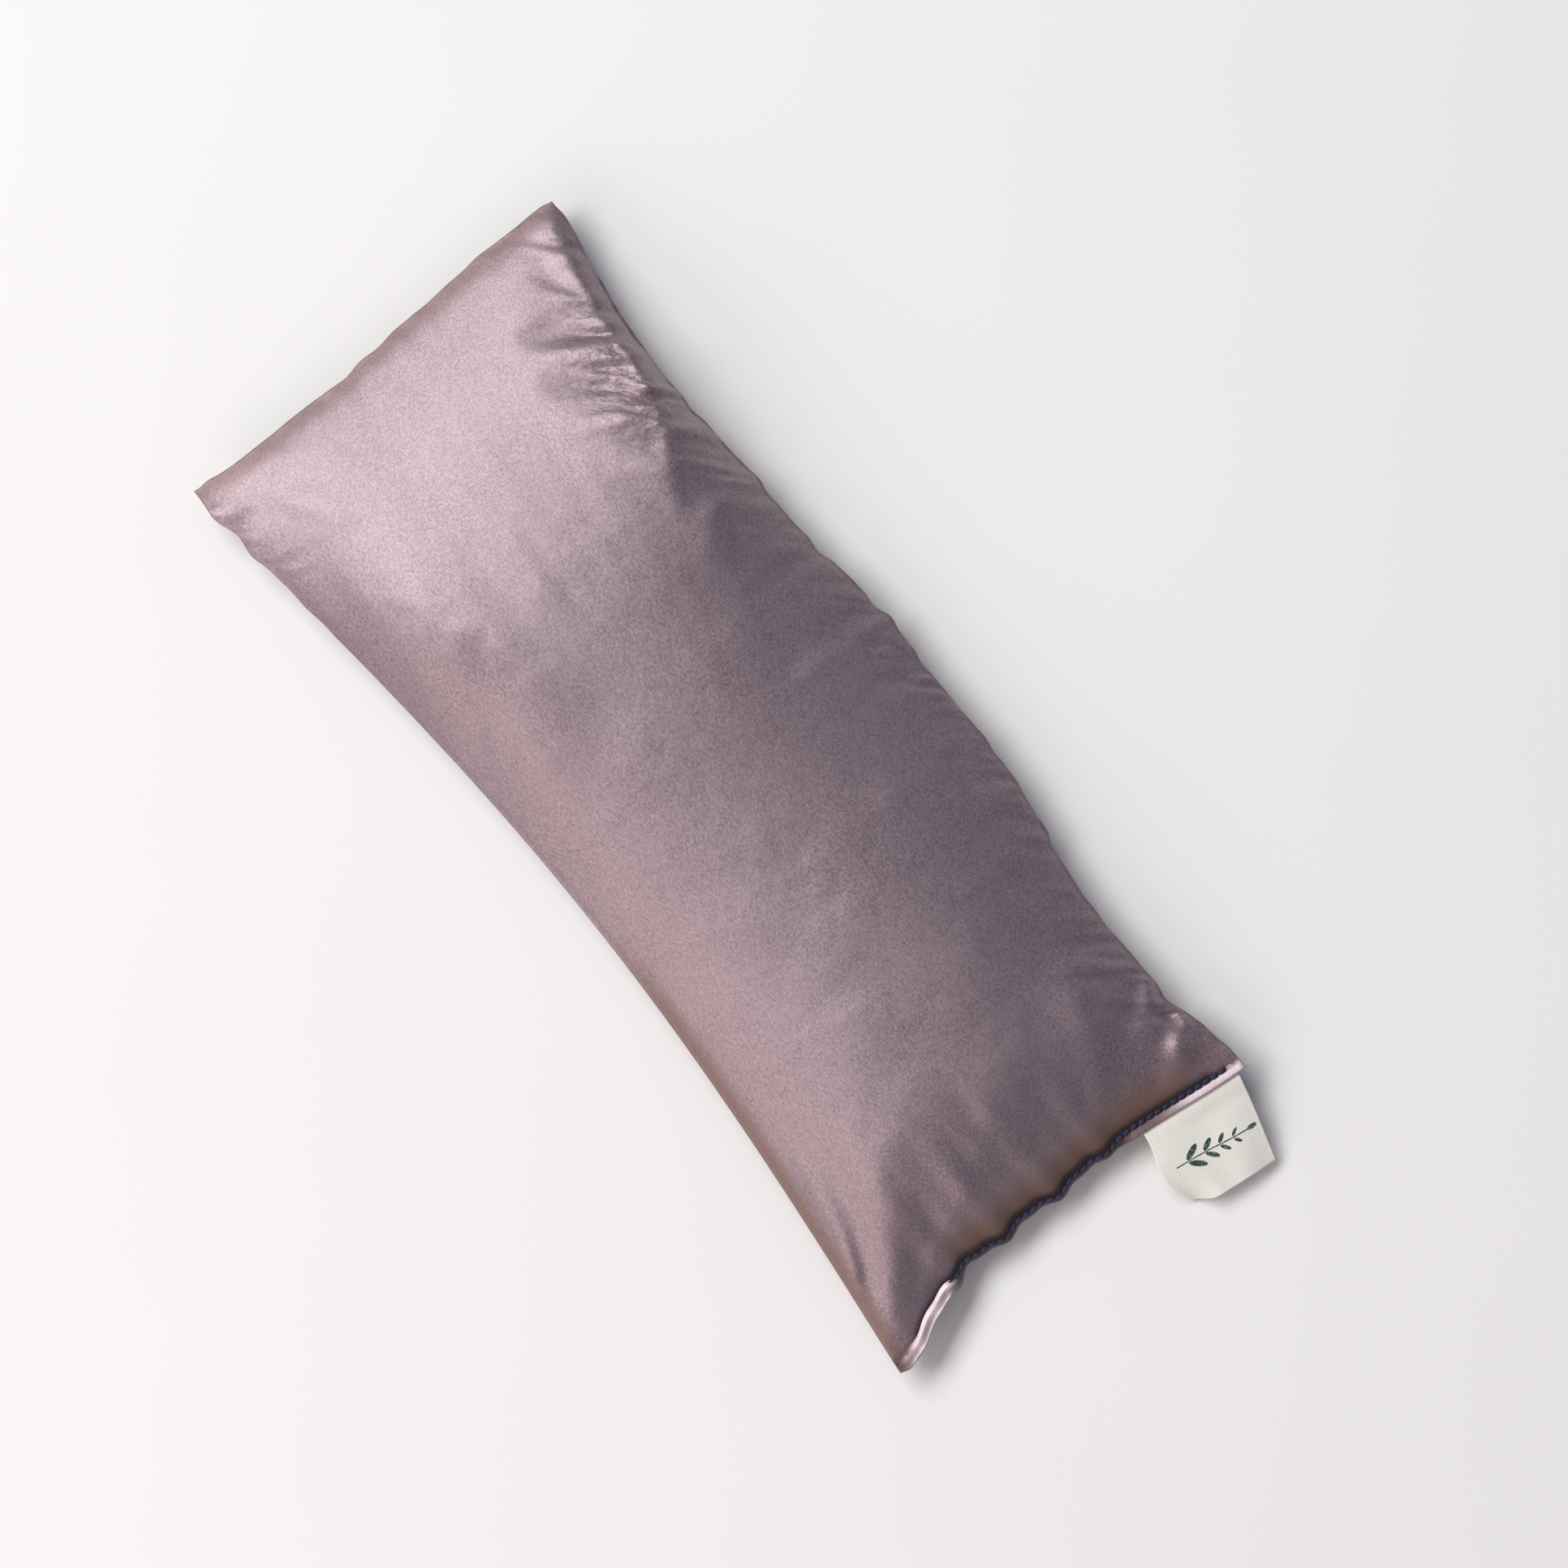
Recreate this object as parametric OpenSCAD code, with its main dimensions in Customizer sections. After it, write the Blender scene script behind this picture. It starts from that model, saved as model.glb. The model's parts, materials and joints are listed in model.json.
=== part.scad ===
// Weighted eye pillow: a flat silk bag of seed with a turned seam on three sides,
// an edge-stitched closing hem on the fourth and a cotton tab label in that hem.
// X runs from the far end to the closing hem and Z is up.  The origin is the
// middle of the flat face that lies on the table.  Sizes are millimetres.

/* [Bag] */
// Length between the two short ends
length = 246; // [180:1:300]
// Width between the two long edges, at the corners
width = 101; // [80:1:130]
// Height of the crown above the table
height = 24; // [18:0.5:32]
// Height of the seam above the table
seam_height = 7; // [5:0.5:10]
// Distance over which the crown rises from a long edge
side_reach = 46; // [30:1:60]
// Distance over which the crown rises from a short end
end_reach = 54; // [30:1:80]
// Distance over which the underside comes down to the table
under_reach = 16; // [10:1:24]
// Roundness of the rise, blunter when smaller
fullness = 0.75; // [0.65:0.05:0.9]

/* [Edge lines] */
// Depth of the long hollow in the label side's opposite edge
long_hollow = 9; // [0:0.5:12]
// Where that hollow is deepest
long_hollow_x = 8; // [-30:1:30]
// Depth of the short hollow near the far end, on the label's edge
far_hollow = 5.4; // [0:0.2:8]
// Distance of that hollow from the far end
far_hollow_in = 44; // [30:1:60]
// Depth of the short hollow near the closing hem, on the label's edge
near_hollow = 5; // [0:0.2:8]
// Distance of that hollow from the closing hem
near_hollow_in = 34; // [25:1:50]
// Half the span of each short hollow
short_span = 44; // [30:1:60]
// Depth of the hollow in the closing hem between its two ears
hem_hollow = 5.6; // [0:0.2:8]
// How far the closing hem leans, each way from its middle
hem_slant = 2.2; // [0:0.1:4]

/* [Cloth] */
// Thickness of the silk
cloth = 0.3; // [0.2:0.02:0.5]
// Width of the cloth that is turned in along every edge
turn_in = 6; // [4:0.2:10]
// Space between a turned-in edge and the cloth over it
fold_gap = 0.06; // [0.04:0.01:0.12]
// Space between the two panels along the turned seam
seam_gap = 0.1; // [0.06:0.02:0.2]

/* [Closing hem] */
// Flat width of the hem between its edge and the filling
hem_flat = 3.4; // [2.8:0.1:5]
// Distance of the edge stitching from the hem's edge
stitch_in = 2.2; // [1.8:0.1:2.6]
// Length of one stitch
stitch_pitch = 2; // [1.6:0.1:3]
// Diameter of the sewing thread
thread_d = 0.28; // [0.2:0.02:0.4]
// Distance of the turned seam's stitching from the edge
seam_stitch_in = 1.5; // [1.2:0.1:2]

/* [Label] */
// Width of the label tape
label_w = 24.6; // [16:0.2:32]
// Length of the label outside the hem
label_free = 20; // [12:0.5:30]
// Thickness of the label tape
label_t = 0.5; // [0.4:0.02:0.7]
// Distance of the label from the long edge beside it
label_in = 2.2; // [1.5:0.1:30]
// Slope of the resting label towards the table
label_droop = 8; // [0:1:12]
// Clearance over and under the label's sewn end
label_fit = 0.06; // [0.04:0.01:0.1]
// Clearance between the hem and the bending label
bend_clear = 0.45; // [0.4:0.05:0.6]

/* [Inner bag] */
// Thickness of the inner bag's muslin
muslin = 0.3; // [0.2:0.02:0.4]
// Flat seamed rim of the inner bag
rim = 3; // [2.4:0.1:5]
// Space between the cover's turned-in edge and the inner bag's rim
bag_clear = 0.8; // [0.6:0.1:2]
// Space between one skin and the next
skin_clear = 0.5; // [0.4:0.05:0.8]
// Space between the muslin and the seed
seed_clear = 0.8; // [0.6:0.05:1.2]

/* [Filling] */
// Number of lavender buds among the seed
buds = 14; // [10:1:20]
// Length of a lavender bud
bud_length = 6; // [4:0.5:7]
// Thickness of a lavender bud
bud_d = 2.4; // [1.8:0.2:3]
// Clearance around a bud
bud_clear = 0.3; // [0.2:0.05:0.5]

/* [Hidden] */

along = 20;           // steps along the bag
across = 10;          // steps across it
thread_sides = 6;
bud_facets = 8;
golden_turn = 137.5;  // degrees from one bud to the next
thread_rest = 0.05;   // thread over the cloth that it lies on
corner_cut = 9;       // where the turned seam rounds a corner
lip = label_t / 2 + label_fit;              // half the slot between the hem's lips
slot_end = turn_in + 8;                     // where the panels are close again
seam_half = seam_gap / 2;
skin = 2 * cloth + fold_gap;                // folded cloth over the seam plane
crown = height - seam_height - lip - skin;  // rise of the cover above its fold
belly = seam_height - lip - skin;           // drop of the cover below its fold
liner_in = turn_in + bag_clear;             // inner bag's edge from the cover's edge
seed_in = liner_in + rim + muslin + seed_clear;
liner_crown = crown + lip + skin - cloth - seam_half - muslin - skin_clear;
liner_belly = belly + lip + skin - cloth - seam_half - muslin - skin_clear;
seed_crown = liner_crown - seed_clear;
seed_belly = liner_belly - seed_clear;
inner_reach = min(side_reach, width / 2 - seed_in);

// The label bends on a line just outside the hem, from one side of it to the other
label_y = width / 2 - label_in - label_w / 2;
bend_out = label_t / 2 + bend_clear;
bend_low = [close_x(label_y - label_w / 2) + bend_out, label_y - label_w / 2];
bend_high = [close_x(label_y + label_w / 2) + bend_out, label_y + label_w / 2];
bend_mid = (bend_low + bend_high) / 2;
label_turn = atan((bend_high[0] - bend_low[0]) / label_w);

function clamp(t) = min(1, max(0, t));
function swell(d, reach) = pow(sin(90 * clamp(d / reach)), fullness);
function dent(t) = pow(cos(90 * min(1, abs(t))), 2);

// Outline: each edge is a straight line with smooth hollows
function close_x(y) =
    length / 2 - hem_slant * 2 * y / width - hem_hollow * cos(180 * clamp(abs(y) / width));
function far_x(y) = -length / 2;
function low_y(x) =
    -width / 2 + long_hollow * cos(90 * min(1, abs(x - long_hollow_x) * 2 / length));
function high_y(x) =
    width / 2 - far_hollow * dent((x + length / 2 - far_hollow_in) / short_span)
    - near_hollow * dent((x - length / 2 + near_hollow_in) / short_span);

// Steps from 0 to 1, closer together near both ends, with an optional flat margin
function steps(n, lead, trail) =
    concat(lead > 0 ? [0] : [],
           [for (k = [0 : n]) lead + (1 - lead - trail) * (1 - cos(180 * k / n)) / 2],
           trail > 0 ? [1] : []);

// Plan point of fraction a along and b across an outline inset by that distance,
// as x, y, distance from the far end and distance from the low edge
function plan(a, b, inset) =
    let (from_far = inset + a * (length - 2 * inset),
         from_low = inset + b * (width - 2 * inset),
         y0 = from_low - width / 2,
         x = far_x(y0) + (close_x(y0) - far_x(y0)) * from_far / length,
         y = low_y(x) + (high_y(x) - low_y(x)) * from_low / width)
    [x, y, from_far, from_low];

// Share of the full rise, zero at the given distance from each edge
function rise(p, start, flat, side, end) =
    swell(p[2] - start, end) * swell(length - p[2] - start - flat, end)
    * swell(p[3] - start, side) * swell(width - p[3] - start, side);

// Half the space between the panels: the label's slot at the hem, else the seam's
function half_gap(p) =
    let (t = clamp((length - p[2] - slot_end) / turn_in))
    lip + (seam_half - lip) * t;

// One surface: points over the whole plan at a side of the seam plane
function crown_grid(as, bs, inset, side, base, amount, start, flat, reach_y, reach_x) =
    [for (a = as) for (b = bs)
        let (p = plan(a, b, inset))
        [p[0], p[1], seam_height + side * (half_gap(p) + base
            + amount * rise(p, start, flat, reach_y, reach_x))]];

// One line of points round the plan, at a fixed distance from the seam gap
function ring(as, bs, inset, side, base) =
    [for (s = edge_steps(len(as), len(bs)))
        let (p = plan(as[s[0]], bs[s[1]], inset))
        [p[0], p[1], seam_height + side * (half_gap(p) + base)]];

// Grid steps of the points round a grid of n by m, in order
function edge_steps(n, m) =
    concat([for (i = [0 : n - 2]) [i, 0]],
           [for (j = [0 : m - 2]) [n - 1, j]],
           [for (i = [n - 1 : -1 : 1]) [i, m - 1]],
           [for (j = [m - 1 : -1 : 1]) [0, j]]);

function flip(tri, over) = over ? [tri[0], tri[2], tri[1]] : tri;
function grid_faces(n, m, first, over) =
    [for (i = [0 : n - 2]) for (j = [0 : m - 2])
        let (q = first + i * m + j)
        for (tri = [[q, q + m, q + m + 1], [q, q + m + 1, q + 1]]) flip(tri, over)];
function band_faces(a, b, over) =
    [for (k = [0 : len(a) - 1])
        let (l = (k + 1) % len(a))
        for (tri = [[a[k], a[l], b[l]], [a[k], b[l], b[k]]]) flip(tri, !over)];

// A closed skin from an outer surface, the lines round its edge and an inner surface
module skin_solid(as, bs, outer, rings, inner, over) {
    n = len(as);
    m = len(bs);
    k = 2 * (n + m) - 4;
    far_side = [for (s = edge_steps(n, m)) s[0] * m + s[1]];
    lines = concat([far_side],
        [for (r = [0 : 1 : len(rings) - 1]) [for (j = [0 : k - 1]) n * m + r * k + j]],
        [[for (j = far_side) n * m + len(rings) * k + j]]);
    points = concat(outer, [for (r = rings) each r], inner);
    faces = concat(grid_faces(n, m, 0, over),
        [for (r = [0 : len(lines) - 2]) each band_faces(lines[r], lines[r + 1], over)],
        grid_faces(n, m, n * m + len(rings) * k, !over));
    polyhedron(points, faces);
}

// Silk panel on one side of the seam plane, with its edges turned in all round
module cover_panel(side, amount, reach_y, reach_x) {
    as = steps(along, 0, hem_flat / length);
    bs = steps(across, 0, 0);
    outer = crown_grid(as, bs, 0, side, skin, amount, 0, hem_flat, reach_y, reach_x);
    inner = crown_grid(as, bs, cloth, side, cloth + fold_gap, amount, cloth, hem_flat,
        reach_y, reach_x);
    rings = [ring(as, bs, 0, side, 0),
             ring(as, bs, turn_in, side, 0),
             ring(as, bs, turn_in, side, cloth),
             ring(as, bs, cloth, side, cloth)];
    skin_solid(as, bs, outer, rings, inner, side > 0);
}

// Muslin panel with a flat rim all round
module liner_panel(side, amount, reach_y, reach_x) {
    start = liner_in + rim;
    as = steps(along, rim / (length - 2 * liner_in), rim / (length - 2 * liner_in));
    bs = steps(across, rim / (width - 2 * liner_in), rim / (width - 2 * liner_in));
    outer = crown_grid(as, bs, liner_in, side, muslin, amount, start, 0, reach_y, reach_x);
    inner = crown_grid(as, bs, liner_in, side, 0, amount, start + muslin, 0, reach_y, reach_x);
    skin_solid(as, bs, outer, [], inner, side > 0);
}

// Swept thread: one ring of points for each point of the path
function unit(v) = v / norm(v);
function tangent(path, i) =
    let (last = len(path) - 1)
    unit(unit(path[min(i + 1, last)] - path[max(i, 0)] + (i == last ? path[i] - path[i - 1] : [0, 0, 0]))
        + unit(path[i] - path[max(i - 1, 0)] + (i == 0 ? path[1] - path[0] : [0, 0, 0])));
module swept_thread(path, diameter) {
    count = len(path);
    points = [for (i = [0 : count - 1])
        let (t = tangent(path, i), s = unit(cross(t, [0, 0, 1])), u = cross(s, t))
        for (k = [0 : thread_sides - 1])
            path[i] + diameter / 2 * (cos(360 * k / thread_sides) * s
                + sin(360 * k / thread_sides) * u)];
    faces = concat(
        [[for (k = [0 : thread_sides - 1]) k]],
        [for (i = [0 : count - 2]) for (k = [0 : thread_sides - 1])
            let (l = (k + 1) % thread_sides, a = i * thread_sides, b = a + thread_sides)
            for (tri = [[a + k, b + k, b + l], [a + k, b + l, a + l]]) tri],
        [[for (k = [thread_sides - 1 : -1 : 0]) (count - 1) * thread_sides + k]]);
    polyhedron(points, faces);
}

// Path of the turned seam: up one long side, over the far end and back
function seam_path(side) =
    let (cut_a = corner_cut / length,
         cut_b = corner_cut / width,
         open_a = 1 - slot_end / length,
         run = [for (k = [0 : along]) cut_a + (open_a - cut_a) * k / along],
         over = [for (k = [0 : across]) cut_b + (1 - 2 * cut_b) * k / across],
         marks = concat([for (k = [along : -1 : 0]) [run[k], 0]],
                        [for (b = over) [0, b]],
                        [for (a = run) [a, 1]]))
    [for (m = marks)
        let (p = plan(m[0], m[1], seam_stitch_in))
        [p[0], p[1], seam_height + side * (half_gap(p) + cloth + thread_rest + thread_d / 2)]];

// Path of the closing stitches: over the lip, then down to the middle and back
function hem_path(side) =
    let (half = width / 2 - 2 * hem_flat,
         count = floor(2 * half / stitch_pitch),
         top = lip + skin + thread_rest + thread_d / 2,
         low = thread_d / 2 + thread_rest / 2,
         marks = [for (k = [0 : count - 1])
             each [[k + 0.22, top], [k + 0.78, top], [k + 1, low]]])
    [for (m = [for (i = [0 : len(marks) - 2]) marks[i]])
        let (y = -half + m[0] * stitch_pitch)
        [close_x(y) - stitch_in, y, seam_height + side * m[1]]];

// A lavender bud is a plump little spindle that lies in the top of the seed, at a
// point of the seed's own grid
function seed_top(as, bs) =
    crown_grid(as, bs, seed_in, 1, 0, seed_crown, seed_in, 0, inner_reach, end_reach);
function bud_place(i) =
    let (as = steps(along, 0, 0),
         bs = steps(across, 0, 0),
         row = 5 + floor((along - 10) * i / (buds - 1)),
         column = across / 2 + [0, 1, -1][i % 3],
         top = seed_top([as[row]], [bs[column]])[0])
    [top[0], top[1], top[2] - bud_d / 2];
module bud(i, extra) {
    translate(bud_place(i))
    rotate([0, 0, i * golden_turn])
    hull() {
        sphere(d = bud_d + 2 * extra, $fn = bud_facets);
        translate([(bud_length - bud_d) / 2, 0, 0])
        sphere(d = bud_d * 0.6 + 2 * extra, $fn = bud_facets);
        translate([-(bud_length - bud_d) / 2, 0, 0])
        sphere(d = bud_d * 0.7 + 2 * extra, $fn = bud_facets);
    }
}

// Silk over the top of the bag
module cover_top() {
    color([0.72, 0.65, 0.67])
    cover_panel(1, crown, min(side_reach, width / 2), end_reach);
}

// Silk under the bag, flat where it lies on the table
module cover_bottom() {
    color([0.66, 0.59, 0.61])
    cover_panel(-1, belly, under_reach, under_reach);
}

// Needle thread of the turned seam, inside the bag on the upper turned-in edge
module seam_needle_thread() {
    color([0.62, 0.55, 0.6])
    swept_thread(seam_path(1), thread_d);
}

// Bobbin thread of the turned seam, inside the bag under the lower turned-in edge
module seam_bobbin_thread() {
    color([0.62, 0.55, 0.6])
    swept_thread(seam_path(-1), thread_d);
}

// Needle thread of the closing hem, seen on top
module hem_needle_thread() {
    color([0.25, 0.26, 0.4])
    swept_thread(hem_path(1), thread_d);
}

// Bobbin thread of the closing hem, seen from below
module hem_bobbin_thread() {
    color([0.25, 0.26, 0.4])
    swept_thread(hem_path(-1), thread_d);
}

// Free part of the label, which bends up and down at the hem
module label() {
    color([0.86, 0.84, 0.78])
    translate([bend_mid[0], bend_mid[1], seam_height])
    rotate([0, label_droop, -label_turn])
    translate([label_fit, -label_w / 2, -label_t / 2])
    cube([label_free, label_w, label_t]);
}

// Sewn end of the label, held between the hem's lips
module label_tail() {
    tail = turn_in - bag_clear;
    color([0.86, 0.84, 0.78])
    translate([bend_mid[0], bend_mid[1], seam_height])
    rotate([0, 0, -label_turn])
    translate([-tail - (label_t + bend_clear) / 2, -label_w / 2, -label_t / 2])
    cube([tail, label_w, label_t]);
}

// Muslin over the seed
module liner_top() {
    color([0.93, 0.9, 0.84])
    liner_panel(1, liner_crown, inner_reach, end_reach);
}

// Muslin under the seed
module liner_bottom() {
    color([0.93, 0.9, 0.84])
    liner_panel(-1, liner_belly, under_reach, under_reach);
}

// Thread on the inner bag's rim
module liner_thread() {
    as = steps(along, 0, 0);
    bs = steps(across, 0, 0);
    line = ring(as, bs, liner_in + rim / 2, 1, muslin + thread_rest + thread_d / 2);
    color([0.9, 0.88, 0.84])
    swept_thread(line, thread_d);
}

// Flaxseed, one solid mass with a pocket round each lavender bud
module flaxseed() {
    as = steps(along, 0, 0);
    bs = steps(across, 0, 0);
    color([0.45, 0.3, 0.17])
    difference() {
        skin_solid(as, bs,
            seed_top(as, bs),
            [],
            crown_grid(as, bs, seed_in, -1, 0, seed_belly, seed_in, 0, under_reach, under_reach),
            true);
        for (i = [0 : buds - 1])
            bud(i, bud_clear);
    }
}

// Lavender buds mixed into the seed
module lavender() {
    color([0.48, 0.42, 0.58])
    for (i = [0 : buds - 1])
        bud(i, 0);
}

cover_top();
cover_bottom();
seam_needle_thread();
seam_bobbin_thread();
hem_needle_thread();
hem_bobbin_thread();
label();
label_tail();
liner_top();
liner_bottom();
liner_thread();
flaxseed();
lavender();
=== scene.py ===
import bpy
import json
import math
import numpy as np
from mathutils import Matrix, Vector


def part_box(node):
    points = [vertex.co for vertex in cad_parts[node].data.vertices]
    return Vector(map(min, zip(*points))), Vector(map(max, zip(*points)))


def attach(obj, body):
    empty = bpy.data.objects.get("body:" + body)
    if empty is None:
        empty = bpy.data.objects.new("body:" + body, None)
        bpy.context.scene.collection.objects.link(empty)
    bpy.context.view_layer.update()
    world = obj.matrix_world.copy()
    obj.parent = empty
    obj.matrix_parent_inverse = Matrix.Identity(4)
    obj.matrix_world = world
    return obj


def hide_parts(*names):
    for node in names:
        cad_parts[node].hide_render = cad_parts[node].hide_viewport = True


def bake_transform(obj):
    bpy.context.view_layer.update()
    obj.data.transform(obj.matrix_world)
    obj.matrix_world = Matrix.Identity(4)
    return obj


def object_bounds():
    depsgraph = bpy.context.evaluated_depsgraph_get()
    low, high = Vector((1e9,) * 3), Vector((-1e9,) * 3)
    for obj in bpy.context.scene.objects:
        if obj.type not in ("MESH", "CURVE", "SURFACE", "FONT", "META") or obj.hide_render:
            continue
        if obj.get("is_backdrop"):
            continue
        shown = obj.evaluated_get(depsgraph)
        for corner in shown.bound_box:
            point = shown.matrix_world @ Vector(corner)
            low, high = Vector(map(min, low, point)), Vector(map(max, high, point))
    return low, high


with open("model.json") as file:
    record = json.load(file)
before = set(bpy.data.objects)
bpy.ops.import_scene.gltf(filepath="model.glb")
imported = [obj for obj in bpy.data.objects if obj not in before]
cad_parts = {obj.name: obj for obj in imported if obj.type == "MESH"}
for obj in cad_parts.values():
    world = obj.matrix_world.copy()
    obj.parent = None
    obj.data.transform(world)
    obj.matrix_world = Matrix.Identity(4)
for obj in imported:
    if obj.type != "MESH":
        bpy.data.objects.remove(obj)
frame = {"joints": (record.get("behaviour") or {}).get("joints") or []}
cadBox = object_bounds()
mm = 0.001  # every length below is in millimetres and turns into metres at the mesh

# the bag's main sizes, read from the frame
topLow, topHigh = [np.array(corner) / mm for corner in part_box("cover_top")]
bagFar = topLow[0]  # far end of the bag
bagLength = -2 * bagFar
bagWidth = topHigh[1] - topLow[1]
crownTop = topHigh[2]
hinge = [joint for joint in frame["joints"] if joint["name"] == "label_bend"][0]
bendMid = np.array(hinge["pos_m"]) / mm
bendAxis = np.array(hinge["axis"])
seamZ = bendMid[2]  # height of the seam plane, where the label comes out
tailLow, tailHigh = [np.array(corner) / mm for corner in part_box("label_tail")]


# numpy helpers
def ease(t):
    # smooth step: 3t^2 - 2t^3 between 0 and 1
    t = np.clip(t, 0, 1)
    return t * t * (3 - 2 * t)


def bump(t):
    # cosine squared hill, 1 at t = 0 and 0 from |t| = 1 on
    return np.cos(np.pi / 2 * np.clip(np.abs(t), 0, 1)) ** 2


def softNoise(x, y, size, seed):
    # random heights on a lattice of that size, blended between the lattice points
    rng = np.random.default_rng(seed)
    lattice = rng.normal(0, 1, (256, 256))
    u, v = x / size + 40, y / size + 40
    i, j = np.floor(u).astype(int), np.floor(v).astype(int)
    p, q = ease(u - i), ease(v - j)
    near = lattice[i, j] * (1 - p) + lattice[i + 1, j] * p
    far = lattice[i, j + 1] * (1 - p) + lattice[i + 1, j + 1] * p
    return near * (1 - q) + far * q


def lookUp(grid, s, t, us, ut):
    # value of a grid at s, t, with a straight blend between its rows us and ut
    i = np.clip(np.searchsorted(us, s, side="right") - 1, 0, len(us) - 2)
    j = np.clip(np.searchsorted(ut, t, side="right") - 1, 0, len(ut) - 2)
    p = np.clip((s - us[i]) / (us[i + 1] - us[i]), 0, 1)
    q = np.clip((t - ut[j]) / (ut[j + 1] - ut[j]), 0, 1)
    near = grid[i, j] * (1 - p) + grid[i + 1, j] * p
    far = grid[i, j + 1] * (1 - p) + grid[i + 1, j + 1] * p
    return near * (1 - q) + far * q


nearby = [(i, j) for i in (-1, 0, 1) for j in (-1, 0, 1)]  # a spot and the eight round it


def softLookUp(grid, s, t, us, ut):
    # the same, averaged over one cell round each point, so that no cell edge shows
    ds, dt = (us[1] - us[0]) * 0.6, (ut[1] - ut[0]) * 0.6
    found = [lookUp(grid, np.clip(s + i * ds, 0, 1), np.clip(t + j * dt, 0, 1), us, ut) for i, j in nearby]
    return sum(found) / len(found)


def quadsOf(index):
    # four corners of each cell of a grid of vertex numbers
    return np.stack([index[:-1, :-1], index[1:, :-1], index[1:, 1:], index[:-1, 1:]], -1).reshape(-1, 4)


def borderOf(index):
    # vertex numbers round a grid, once each, in order
    return np.concatenate([index[:-1, 0], index[-1, :-1], index[:0:-1, -1], index[0, :0:-1]])


def shareGrid(sizes):
    # even shares along and across, from 0 to 1, at every point of a grid
    along, across = [np.linspace(0, 1, sizes[key] + 1) for key in ("rows", "columns")]
    return np.meshgrid(along, across, indexing="ij")


def pairOf(index):
    # vertex numbers of a second grid that shares the first one's border, and its inner points
    inner = np.zeros(index.shape, bool)
    inner[1:-1, 1:-1] = True
    second = index.copy()
    second[inner] = index.size + np.arange(inner.sum())
    return second, inner


def makePiece(name, points, faces, material, body="pillow", attributes=None):
    mesh = bpy.data.meshes.new(name)
    mesh.from_pydata((np.asarray(points) * mm).tolist(), [], [list(face) for face in faces])
    mesh.polygons.foreach_set("use_smooth", [True] * len(mesh.polygons))
    for key, values in (attributes or {}).items():
        layer = mesh.attributes.new(key, "FLOAT", "POINT")
        layer.data.foreach_set("value", np.asarray(values, np.float32))
    mesh.update()
    mesh.materials.append(material)
    piece = bpy.data.objects.new(name, mesh)
    bpy.context.scene.collection.objects.link(piece)
    if body:
        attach(piece, body)
    return piece


def giveThickness(piece, thickness, offset):
    wall = piece.modifiers.new("wall", "SOLIDIFY")
    wall.thickness = thickness * mm
    wall.offset = offset
    wall.use_even_offset = False


# shader maths
class Socket:
    # a shader socket that takes part in Python sums; numbers become node values
    def __init__(self, tree, link):
        self.tree, self.link = tree, link

    def mathNode(self, operation, first, second=None):
        values = {0: first} if second is None else {0: first, 1: second}
        return self.tree.node("ShaderNodeMath", {"operation": operation}, values)

    def __add__(self, other):
        return self.mathNode("ADD", self, other)

    def __radd__(self, other):
        return self.mathNode("ADD", other, self)

    def __sub__(self, other):
        return self.mathNode("SUBTRACT", self, other)

    def __rsub__(self, other):
        return self.mathNode("SUBTRACT", other, self)

    def __mul__(self, other):
        return self.mathNode("MULTIPLY", self, other)

    def __rmul__(self, other):
        return self.mathNode("MULTIPLY", other, self)

    def __truediv__(self, other):
        return self.mathNode("DIVIDE", self, other)

    def __rtruediv__(self, other):
        return self.mathNode("DIVIDE", other, self)

    def __gt__(self, other):
        return self.mathNode("GREATER_THAN", self, other)

    def __lt__(self, other):
        return self.mathNode("LESS_THAN", self, other)

    def absolute(self):
        return self.mathNode("ABSOLUTE", self)

    def larger(self, other):
        return self.mathNode("MAXIMUM", self, other)

    def sine(self):
        return self.mathNode("SINE", self)


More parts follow.
